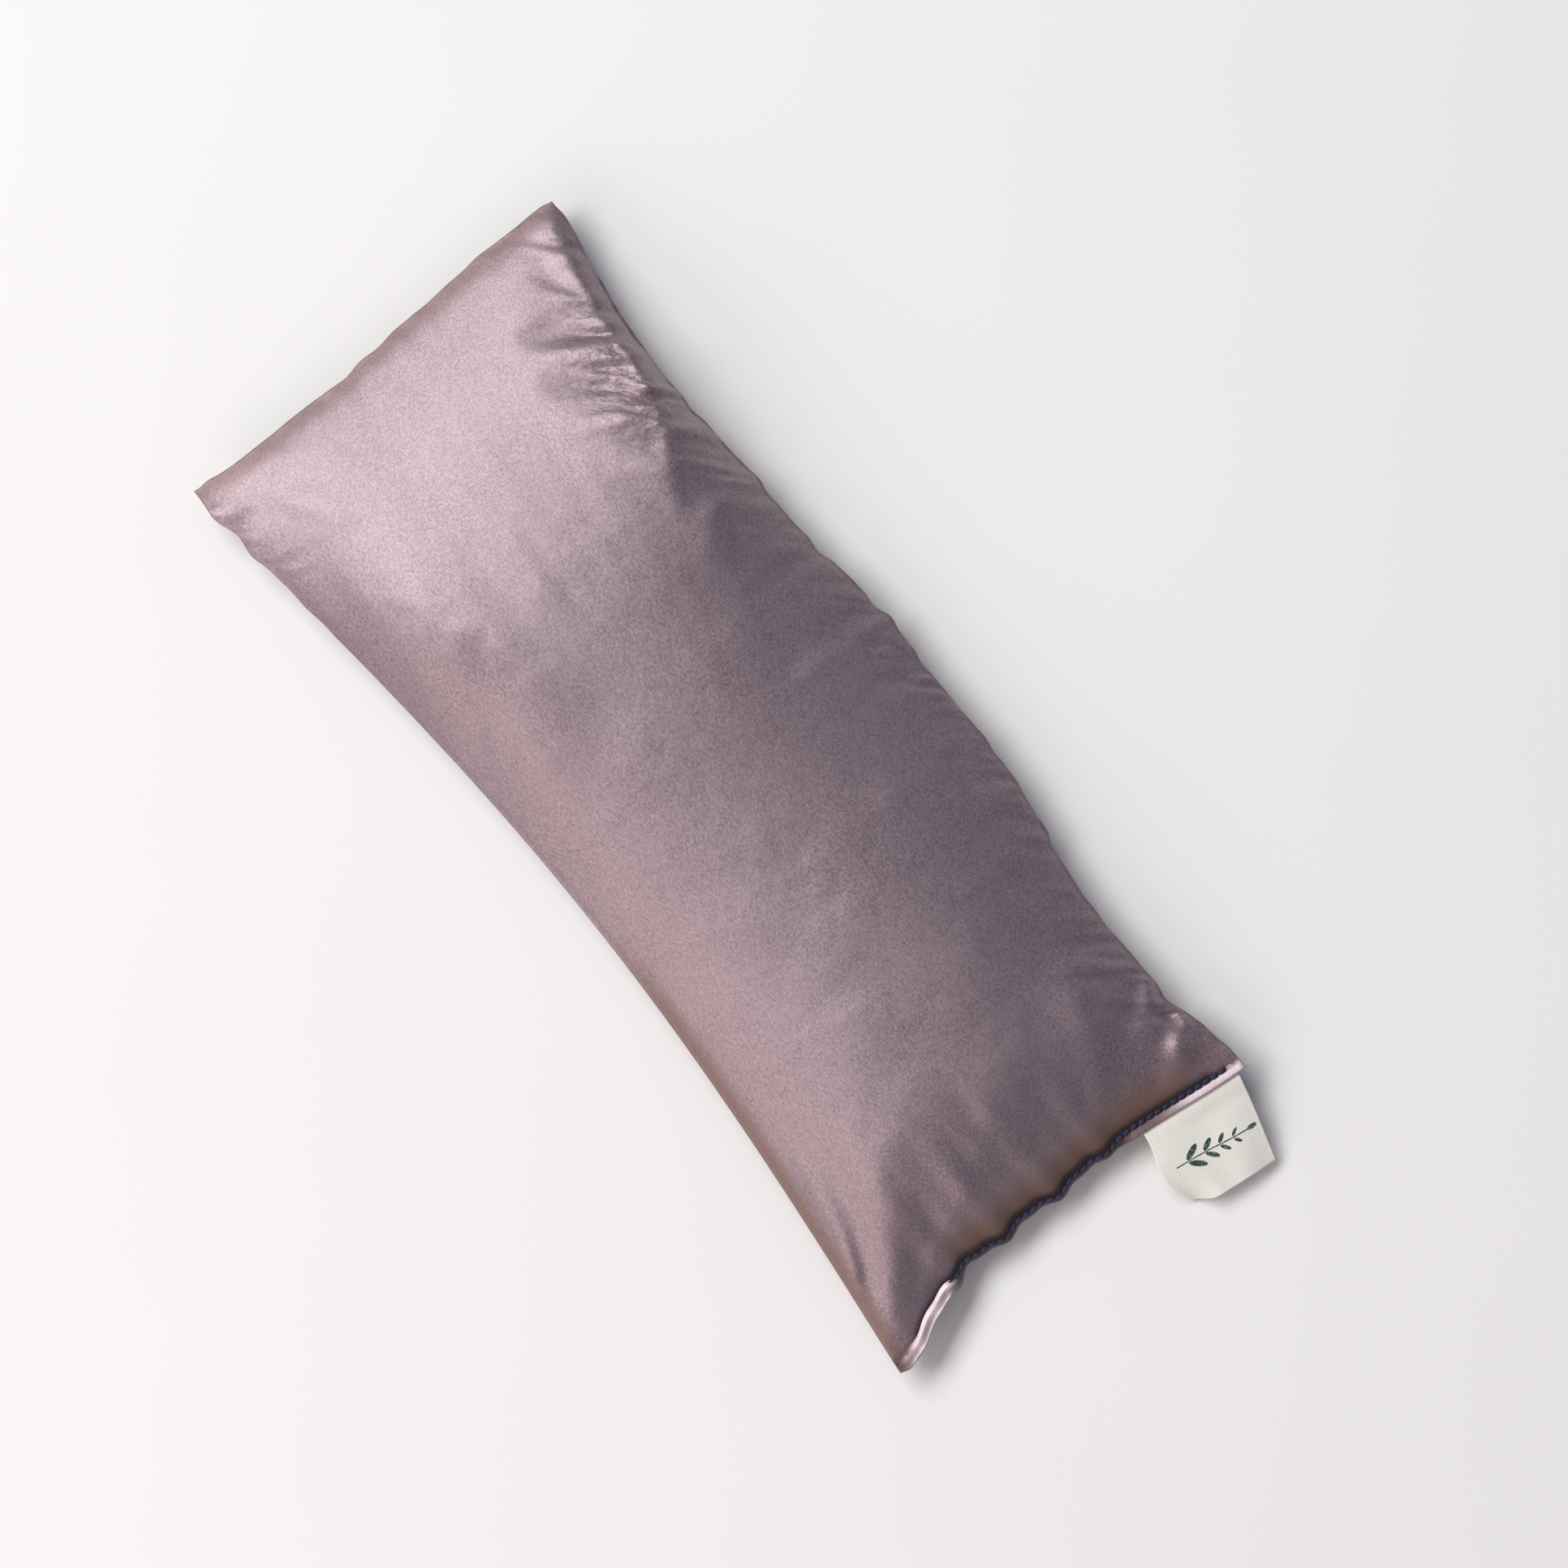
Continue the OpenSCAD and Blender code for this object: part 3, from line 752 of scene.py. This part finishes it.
def slotHalf(y, fromHem):
    # half the space between the panels: a slot for the label, else the seam's gap
    nearLabel = ease((y - 19) / 4) * ease((bag["turnIn"] + 8 - fromHem) / 6)
    return bag["seamGap"] + (bag["labelSlot"] - bag["seamGap"]) * nearLabel


def stitchDip(fromHem):
    # the thread pulls the lip down in a narrow groove along the stitching
    return 0.34 * np.exp(-((fromHem - bag["stitchIn"]) / 0.75) ** 2)


def makeSilkPanel(name, node, side):
    # grid of the settled panel, then rings that fold every edge round and turn it in:
    # a half circle of the fold's radius, then a level strip inwards
    us, ut = gridShares()
    s, t = np.meshgrid(us, ut, indexing="ij")
    x, y, z = settledPanel(s, t, side)
    flatX, flatY, fromFar, fromLow = planOf(s, t)
    fromHem = bagLength - fromFar
    fromHigh = bagWidth - fromLow
    lift = slotHalf(flatY, fromHem) + 2 * bag["foldOut"]
    z = z + side * (lift - stitchDip(fromHem))
    if side < 0:
        z = np.maximum(z, 0.02)  # level where it lies on the table
    stitchedZ = z
    x, z = turnLips(x, z, flatY, fromHem)
    index = np.arange(s.size).reshape(s.shape)
    border = borderOf(index)
    sides = s.ravel()[border], t.ravel()[border]
    base = hemHeight(flatY, fromHem).ravel()[border]
    slot = slotHalf(flatY, fromHem).ravel()[border]
    radius = bag["foldOut"]
    turns = [(-radius * math.cos(a), radius * (1 + math.sin(a))) for a in np.radians([45, 0, -45, -90])]
    turns = turns + [(1.4, 0.0), (3.6, 0.0), (bag["turnIn"], 0.0)]
    points = [np.stack([x.ravel(), y.ravel(), z.ravel()], -1)]
    loops = [border]
    for step, (inset, over) in enumerate(turns):
        ringX, ringY, ringFar, _ = planOf(*sides, inset)
        level = hemHeight(ringY, bagLength - ringFar) if inset > 1 else base
        ringX, ringZ = turnLips(ringX, seamZ + level + side * (slot + over), ringY, bagLength - ringFar)
        points.append(np.stack([ringX, ringY, ringZ], -1))
        loops.append(s.size + step * len(border) + np.arange(len(border)))
    bands = [quadsOf(np.stack([np.append(a, a[0]), np.append(b, b[0])], -1))[:, ::-1]
             for a, b in zip(loops, loops[1:])]
    faces = np.concatenate([quadsOf(index), *bands])
    if side < 0:
        faces = faces[:, ::-1]
    # painted warm light: a painted reflection of the table in a band beside the hem and a thin line along
    # the far edge, and a thin painted lit line along the low edge
    paintedHemReflection = 0.95 * bump((fromHem - 4.5) / 9) * (1 - ease((-flatY - 22) / 9))
    paintedHemReflection = paintedHemReflection * (1 - 0.75 * ease((flatY - 33) / 12))
    # painted shade along the stitching
    groove = 0.94 * np.exp(-((fromHem - bag["stitchIn"] - 0.3) / 1.3) ** 2) * ease((45 - np.abs(flatY)) / 3)
    ear = earShare(flatY)
    beyond = bag["stitchIn"] - fromHem
    # painted light on the lips where they stand up at the ears and beside the label
    lip = np.maximum(ear, ease((flatY - 25) / 12)) * ease((beyond - 0.3 + 0.9 * ear) / 0.7)
    # painted shade: the hanging lip between the ears lies in its own shade, and a painted dark line of
    # shade lies between the ear's two layers
    hanging = (1 - ear) * (1 - ease((flatY - 16) / 9)) * ease((beyond + 0.2) / 0.6)
    groove = np.maximum(groove * (1 - lip), 0.7 * hanging)
    groove = groove + 0.45 * ear * np.exp(-((fromHem - 0.95) / 0.3) ** 2)
    # crinkles: a band along the high edge, widest in its first hollow, and a short one opposite
    band = 6 + 9 * bump((flatX + 82) / 32)
    crinkle = np.exp(-((fromHigh - 4) / band) ** 2)
    crinkle = crinkle * (bump((flatX + 76) / 44) + 0.4 * bump((flatX - 30) / 86))
    crinkle = crinkle + 0.5 * np.exp(-((fromLow - 3) / 4) ** 2) * bump((flatX + 92) / 36)
    paintedLowEdgeLight = 0.7 * bump((fromLow - 1) / 4) * ease((flatX - 5) / 30)
    paintedFarEdgeReflection = 0.45 * bump((fromFar - 1) / 4.5)
    warm = np.clip(paintedHemReflection * (1 - lip) + paintedLowEdgeLight + paintedFarEdgeReflection, 0, 1)
    tints = {"warm": warm, "groove": groove, "lip": lip, "crinkle": np.clip(crinkle, 0, 1)}
    tints = {key: np.concatenate([value.ravel()] + [value.ravel()[border]] * len(turns))
             for key, value in tints.items()}
    panel = makePiece(name, np.concatenate(points), faces, silk, attributes=tints)
    giveThickness(panel, bag["cloth"], -1)
    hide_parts(node)
    return us, ut, stitchedZ


rowShares, columnShares, topZ = makeSilkPanel("silkTop", "cover_top", 1)
_, _, underZ = makeSilkPanel("silkUnder", "cover_bottom", -1)
print("silk panels made")

# stitching
stitching = {
    # length of a stitch, radius of its thread at the fullest, rise of its middle over its
    # ends, and its lean across the row in radians
    "hem": (2.05, 0.55, 0.2, 0.16),
    "seam": (2.2, 0.12, 0.05, 0),
    "liner": (2.4, 0.12, 0.05, 0),
    "ends": 6.4,  # from a long edge to the first hem stitch
}


def stitchRow(places, headings, length, radius, rise, side):
    # one small plied stitch for each place: a tube that swells in its middle and dives at both
    # ends; height = rise * sin(pi * u)^0.7, thickness = radius * (0.25 + 0.75 * sin(pi * u)^0.45)
    turns, rings = 8, 9
    u = np.linspace(0.0, 1.0, rings)
    angle = np.linspace(0, 2 * np.pi, turns, endpoint=False)
    ply = 1 + 0.13 * np.cos(2 * angle[None, :] - 5 * u[:, None])  # twist of the two plies
    swell = radius[:, None, None] * ply * (0.25 + 0.75 * np.sin(np.pi * u) ** 0.45)[:, None]
    along = (u - 0.5) * length
    height = side * rise * np.sin(np.pi * u) ** 0.7
    sideways = np.cos(angle) * swell
    upward = np.sin(angle) * swell + height[:, None]
    across = np.stack([-headings[:, 1], headings[:, 0], 0 * headings[:, 0]], -1)
    points = (places[:, None, None, :] + headings[:, None, None, :] * along[None, :, None, None]
              + across[:, None, None, :] * sideways[..., None])
    points[..., 2] += upward
    count = len(places)
    index = np.arange(count * rings * turns).reshape(count, rings, turns)
    wrapped = np.concatenate([index, index[:, :, :1]], 2)
    quads = np.stack([wrapped[:, :-1, :-1], wrapped[:, :-1, 1:],
                      wrapped[:, 1:, 1:], wrapped[:, 1:, :-1]], -1)
    faces = quads.reshape(-1, 4).tolist() + index[:, 0, ::-1].tolist() + index[:, -1, :].tolist()
    return points.reshape(-1, 3), faces


def addStitches(name, node, line, pitch, radius, rise, side, material, slot, lean):
    # a row of stitches on a line of x, y, z points; each leans a little across the row
    steps = np.linalg.norm(np.diff(line, axis=0), axis=1)
    run = np.concatenate([[0], np.cumsum(steps)])
    count = int(run[-1] // pitch)
    middles = (np.arange(count) + 0.5) * run[-1] / count
    places, ahead, behind = [np.stack([np.interp(at, run, line[:, axis]) for axis in range(3)], -1)
                             for at in (middles, middles + 0.4, middles - 0.4)]
    heading = ahead - behind
    heading = heading / np.linalg.norm(heading, axis=1)[:, None]
    turned = np.stack([heading[:, 0] * math.cos(lean) - heading[:, 1] * math.sin(lean),
                       heading[:, 0] * math.sin(lean) + heading[:, 1] * math.cos(lean), heading[:, 2]], -1)
    # the hem's thread bites into the cloth where the ear turns up
    thin = 1 - 0.65 * earShare(places[:, 1]) * (slot == "hem_thread")
    points, faces = stitchRow(places, turned, pitch * 1.04, radius * thin, rise, side)
    row = makePiece(name, points, faces, material)
    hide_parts(node)


def hemLine(side):
    # the hem's stitching line on one lip, at a fixed distance from the hem's edge
    t = np.linspace(stitching["ends"] / bagWidth, 1 - stitching["ends"] / bagWidth / 2, 400)
    s = np.full_like(t, 1 - bag["stitchIn"] / bagLength)
    x, y, _, _ = planOf(s, t)
    z = lookUp(topZ if side > 0 else underZ, s, t, rowShares, columnShares)
    flatY = (t - 0.5) * bagWidth
    z = z + side * (0.2 - 0.55 * earShare(flatY))  # on the cloth, and sunk into it at the ear
    x, z = turnLips(x, z, flatY, 0 * x + bag["stitchIn"])
    return np.stack([x, y, z], -1)


def seamLine(side):
    # the turned seam's stitching inside the bag, round three sides, over the turned-in edge
    inset, corner, hemEnd = 1.5, 9, 14
    run = np.linspace(corner / bagLength, 1 - hemEnd / bagLength, 240)
    over = np.linspace(corner / bagWidth, 1 - corner / bagWidth, 90)
    s = np.concatenate([run[::-1], 0 * over, run])
    t = np.concatenate([0 * run, over, 0 * run + 1])
    x, y, _, _ = planOf(s, t, inset)
    z = seamZ + side * (bag["seamGap"] + bag["cloth"] + stitching["seam"][1] + 0.03)
    return np.stack([x, y, 0 * x + z], -1)


for seam, line, material in (("hem", hemLine, hemThread), ("seam", seamLine, seamThread)):
    for panel, thread, side in (("Top", "needle", 1), ("Under", "bobbin", -1)):
        *sizes, lean = stitching[seam]
        addStitches(seam + "Stitches" + panel, seam + "_" + thread + "_thread", line(side), *sizes, side,
                    material, seam + "_thread", lean * side)
print("stitching made")

# label
tape = {
    "thickness": 0.42,
    "length": 21.2,  # free length outside the hem
    "tail": 5.2,  # sewn length behind the bend
    "droop": math.radians(8),
    "curl": 3.4,  # how far the free corner curls under
    "rows": 91,
    "columns": 83,
}


def makeLabelTape():
    # a strip from its sewn end to its free end: level in the hem, then an easy bow down to
    # the droop's slope; the corner away from the bag's edge curls under
    acrossWay = -bendAxis if bendAxis[1] < 0 else bendAxis
    outWay = np.array([acrossWay[1], -acrossWay[0], 0])
    # the tape's width, from the box of its sewn end, which lies a little turned
    width = (tailHigh[1] - tailLow[1] - (tailHigh[0] - tailLow[0]) * abs(outWay[1])) / acrossWay[1] + 0.5
    total = tape["tail"] + tape["length"]
    v, u = shareGrid(tape)
    out = v * total - tape["tail"]
    across = (u - 0.5) * width
    free = np.maximum(out - 0.3, 0)
    low = ease((0.34 - u) / 0.34)  # share of the curl beside the low edge
    down = free * math.sin(tape["droop"]) * ease(free / 5 + 0.3)
    curl = (np.maximum(free - 7, 0) / 13) ** 2
    down = down + tape["curl"] * low * curl
    out = out - 1.6 * low ** 2 * curl - free * (1 - math.cos(tape["droop"]))
    # the low side bulges a little and the other one draws in and sinks towards its free end
    across = across - 1.6 * bump((free - 11) / 10) * ease((0.5 - u) / 0.5) + 1.3 * low * curl
    reached = free / tape["length"]
    across = across - 3.0 * reached ** 1.2 * ease((u - 0.25) / 0.75)
    down = down + 1.5 * reached ** 1.5 * ease((u - 0.55) / 0.45)
    ripple = 0.25 * np.sin(2 * np.pi * (u * 1.4 + 0.1)) * ease(free / 8)
    points = bendMid + out[..., None] * outWay + across[..., None] * acrossWay
    inHem = hemHeight(points[..., 1], np.maximum(-out, 0)) * (1 - ease(out / 5))
    points[..., 2] += ripple - down + inHem
    index = np.arange(u.size).reshape(u.shape)
    material = makeLabelCotton(width, total)
    piece = makePiece("labelTape", points.reshape(-1, 3), quadsOf(index), material, body=None)
    layer = piece.data.uv_layers.new(name="tape")
    corners = np.empty(len(piece.data.loops), int)
    piece.data.loops.foreach_get("vertex_index", corners)
    layer.data.foreach_set("uv", np.stack([u.ravel()[corners], v.ravel()[corners]], -1).ravel())
    giveThickness(piece, tape["thickness"], 0)
    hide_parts("label", "label_tail")
    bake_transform(piece)


makeLabelTape()
print("label made")

# inner bag and filling
innerBag = {
    "cloth": 0.3,
    "edge": bag["turnIn"] + 0.8,  # its edge from the cover's edge
    "rim": 3.0,
    "clear": 0.9,  # from the silk's inner face
    "seedClear": 0.7,
    "rows": 150,
    "columns": 60,
}


def innerHeight(s, t, edge, gap, side):
    # follows the silk over the filling, a fixed gap inside it, and comes down to the seam
    # plane at its own edge; the lowest silk nearby counts, so that no pucker touches it
    _, _, fromFar, fromLow = planOf(s, t)
    near = np.minimum.reduce([fromFar, bagLength - fromFar, fromLow, bagWidth - fromLow])
    panel = topZ if side > 0 else underZ
    around = []
    for i, j in nearby:
        shares = np.clip(s + i * 1.8 / bagLength, 0, 1), np.clip(t + j * 1.8 / bagWidth, 0, 1)
        around.append(side * lookUp(panel, *shares, rowShares, columnShares))
    limit = np.minimum.reduce(around) - side * seamZ - gap
    rise = ease((near - edge) / 3.5)
    return seamZ + side * (0.02 + (np.maximum(limit, 0.4) - 0.02) * rise)


def makeLiner(name, node, side):
    # one muslin panel: the silk panel's form drawn in, with a level rim round it
    s, t = shareGrid(innerBag)
    edge, rim = innerBag["edge"], innerBag["rim"]
    x, y, fromFar, fromLow = planOf(s, t, edge)
    inS, inT = fromFar / bagLength, fromLow / bagWidth
    z = innerHeight(inS, inT, edge + rim - 1, bag["cloth"] + innerBag["clear"], side)
    z = z + side * (innerBag["cloth"] + 0.05)
    index = np.arange(s.size).reshape(s.shape)
    faces = quadsOf(index) if side > 0 else quadsOf(index)[:, ::-1]
    liner = makePiece(name, np.stack([x, y, z], -1).reshape(-1, 3), faces, muslin)
    giveThickness(liner, innerBag["cloth"], -1)
    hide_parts(node)


def linerLine():
    # the inner bag's stitching, once round in the middle of its rim
    around = np.linspace(0, 1, 200) * 4
    s = np.interp(around, np.arange(5), [0, 1, 1, 0, 0])
    t = np.interp(around, np.arange(5), [0, 0, 1, 1, 0])
    x, y, _, _ = planOf(s, t, innerBag["edge"] + innerBag["rim"] / 2)
    return np.stack([x, y, 0 * x + seamZ + innerBag["cloth"] + 0.2], -1)


makeLiner("linerTop", "liner_top", 1)
makeLiner("linerUnder", "liner_bottom", -1)
*linerSizes, linerLean = stitching["liner"]
addStitches("linerStitches", "liner_thread", linerLine(), *linerSizes, 1, muslin, "muslin", linerLean)
print("inner bag made")

seedBed = {
    "edge": innerBag["edge"] + innerBag["rim"] + 1.4,
    "rows": 250,
    "columns": 104,
    "seed": (4.4, 2.3, 0.8),  # length, width and height of one seed
}


def seedBumps(x, y, seedNumber):
    # small ellipsoid humps, one in each cell of a jittered lattice, the highest one showing
    length, width, height = seedBed["seed"]
    rng = np.random.default_rng(seedNumber)
    cells = 128  # each way, more than the bed needs
    jitter = rng.uniform(-0.32, 0.32, (3, cells, cells))
    cellX, cellY = length * 0.72, width * 0.9
    i, j = np.floor(x / cellX).astype(int), np.floor(y / cellY).astype(int)
    best = np.zeros_like(x)
    for di, dj in nearby:
        a, b = i + di, j + dj
        shiftX, shiftY, turn = jitter[:, (a + cells // 2) % cells, (b + cells // 2) % cells]
        px, py = x - (a + 0.5 + shiftX) * cellX, y - (b + 0.5 + shiftY) * cellY
        angle = turn * 6
        u = (px * np.cos(angle) + py * np.sin(angle)) / (length / 2)
        v = (py * np.cos(angle) - px * np.sin(angle)) / (width / 2)
        best = np.maximum(best, height * np.sqrt(np.maximum(1 - u * u - v * v, 0)))
    return best


def makeFlaxseed():
    # one closed mass of seed: a bumpy top and underside that meet at their border
    s, t = shareGrid(seedBed)
    edge = seedBed["edge"]
    x, y, fromFar, fromLow = planOf(s, t, edge)
    inS, inT = fromFar / bagLength, fromLow / bagWidth
    near = np.minimum(np.minimum(s, 1 - s) * bagLength, np.minimum(t, 1 - t) * bagWidth)
    gap = bag["cloth"] + innerBag["clear"] + innerBag["cloth"] + innerBag["seedClear"]
    fade = ease(near / 4)
    skins = []
    for side in (1, -1):
        z = innerHeight(inS, inT, edge, gap, side)
        z = z - side * (seedBed["seed"][2] - seedBumps(x, y, 40 + side)) * fade
        skins.append(np.stack([x, y, seamZ + (z - seamZ) * fade], -1))
    top, under = skins
    index = np.arange(s.size).reshape(s.shape)
    underIndex, inner = pairOf(index)
    points = np.concatenate([top.reshape(-1, 3), under[inner]])
    faces = np.concatenate([quadsOf(index), quadsOf(underIndex)[:, ::-1]])
    bed = makePiece("flaxseedBed", points, faces, flax)
    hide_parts("flaxseed")
    return top


bedTop = makeFlaxseed()
print("flaxseed made")

buds = {"count": 14, "length": 6.0, "thickness": 1.6, "turn": math.radians(137.5)}


def makeLavender(bed):
    # each bud is a ribbed spindle: radius = half thickness * sin(pi * u)^0.6 with eight ribs
    rings, turns = 13, 16
    u = np.linspace(0.02, 0.98, rings)
    angle = np.linspace(0, 2 * np.pi, turns, endpoint=False)
    ribs = 1 + 0.1 * np.cos(8 * angle)[None, :]
    radius = buds["thickness"] / 2 * (np.sin(np.pi * u) ** 0.6 * (1.15 - 0.4 * u))[:, None] * ribs
    along = ((u - 0.5) * buds["length"])[:, None] + 0 * radius
    points, faces = [], []
    for number in range(buds["count"]):
        row = int(len(bed) * (0.22 + 0.56 * number / (buds["count"] - 1)))
        column = bed.shape[1] // 2 + (0, 14, -14)[number % 3]
        low = bed[row - 3:row + 4, column - 3:column + 4, 2].min()  # the lowest seed around
        middle = np.array([*bed[row, column, :2], low])
        turn = buds["turn"] * number
        px = along * math.cos(turn) - radius * np.cos(angle) * math.sin(turn)
        py = along * math.sin(turn) + radius * np.cos(angle) * math.cos(turn)
        pz = radius * np.sin(angle) - buds["thickness"] * 0.45
        points.append((middle + np.stack([px, py, pz], -1)).reshape(-1, 3))
        index = number * rings * turns + np.arange(rings * turns).reshape(rings, turns)
        wrapped = np.concatenate([index, index[:, :1]], 1)
        faces = faces + quadsOf(wrapped)[:, ::-1].tolist()
        faces = faces + [index[0].tolist(), index[-1, ::-1].tolist()]
    piece = makePiece("lavenderBuds", np.concatenate(points), faces, lavender)
    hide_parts("lavender")


makeLavender(bedTop)
print("lavender made")

# table, light and camera
studio = {
    "camera": (0.009, 0.0099, 0.822),  # straight above the bag, in metres
    "lens": 85,
    "turn": math.atan2(0.7815, 0.624),  # the bag lies across the view's corner
    # place, power, size and colour of each lamp
    "key": ((-1.38, -0.56, 1.86), 69, (2.5, 0.9), (1, 0.985, 0.96)),
    "side": ((0.3, -1.15, 0.6), 8, (1.4, 0.6), (1, 0.86, 0.76)),
    "sky": 0.29,
    "skyColour": (0.87, 0.86, 1, 1),
    "table": 1.6,  # half the table's side, in metres
}


def addLight(name, place, power, size, colour):
    lamp = bpy.data.lights.new(name, "AREA")
    lamp.energy, lamp.color, lamp.shape = power, colour, "RECTANGLE"
    lamp.size, lamp.size_y = size
    stand = bpy.data.objects.new(name, lamp)
    stand.location = place
    stand.rotation_euler = (-Vector(place)).to_track_quat("-Z", "Y").to_euler()
    bpy.context.scene.collection.objects.link(stand)


def setStudio():
    scene = bpy.context.scene
    edge = np.linspace(-studio["table"], studio["table"], 9)
    gx, gy = np.meshgrid(edge, edge, indexing="ij")
    grid = np.stack([gx, gy, 0 * gx - 0.0004], -1).reshape(-1, 3) / mm  # just under the bag
    index = np.arange(gx.size).reshape(gx.shape)
    floor = makePiece("table", grid, quadsOf(index), makeTable(), body=None)
    floor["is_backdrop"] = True
    for name in ("key", "side"):
        addLight(name, *studio[name])
    world = bpy.data.worlds.new("studio")
    scene.world = world
    scene.view_settings.view_transform = "Standard"
    world.use_nodes = True
    sky = world.node_tree.nodes["Background"]
    sky.inputs["Color"].default_value = studio["skyColour"]
    sky.inputs["Strength"].default_value = studio["sky"]
    lens = bpy.data.cameras.new("camera")
    lens.lens, lens.sensor_width = studio["lens"], 36
    camera = bpy.data.objects.new("camera", lens)
    camera.location = studio["camera"]
    camera.rotation_euler = (0, 0, studio["turn"])
    scene.collection.objects.link(camera)
    scene.camera = camera


setStudio()
print("studio set")


def plainBox(box):
    return [[float(value) for value in corner] for corner in box]


sizes = {"cad": plainBox(cadBox), "visual": plainBox(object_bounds())}
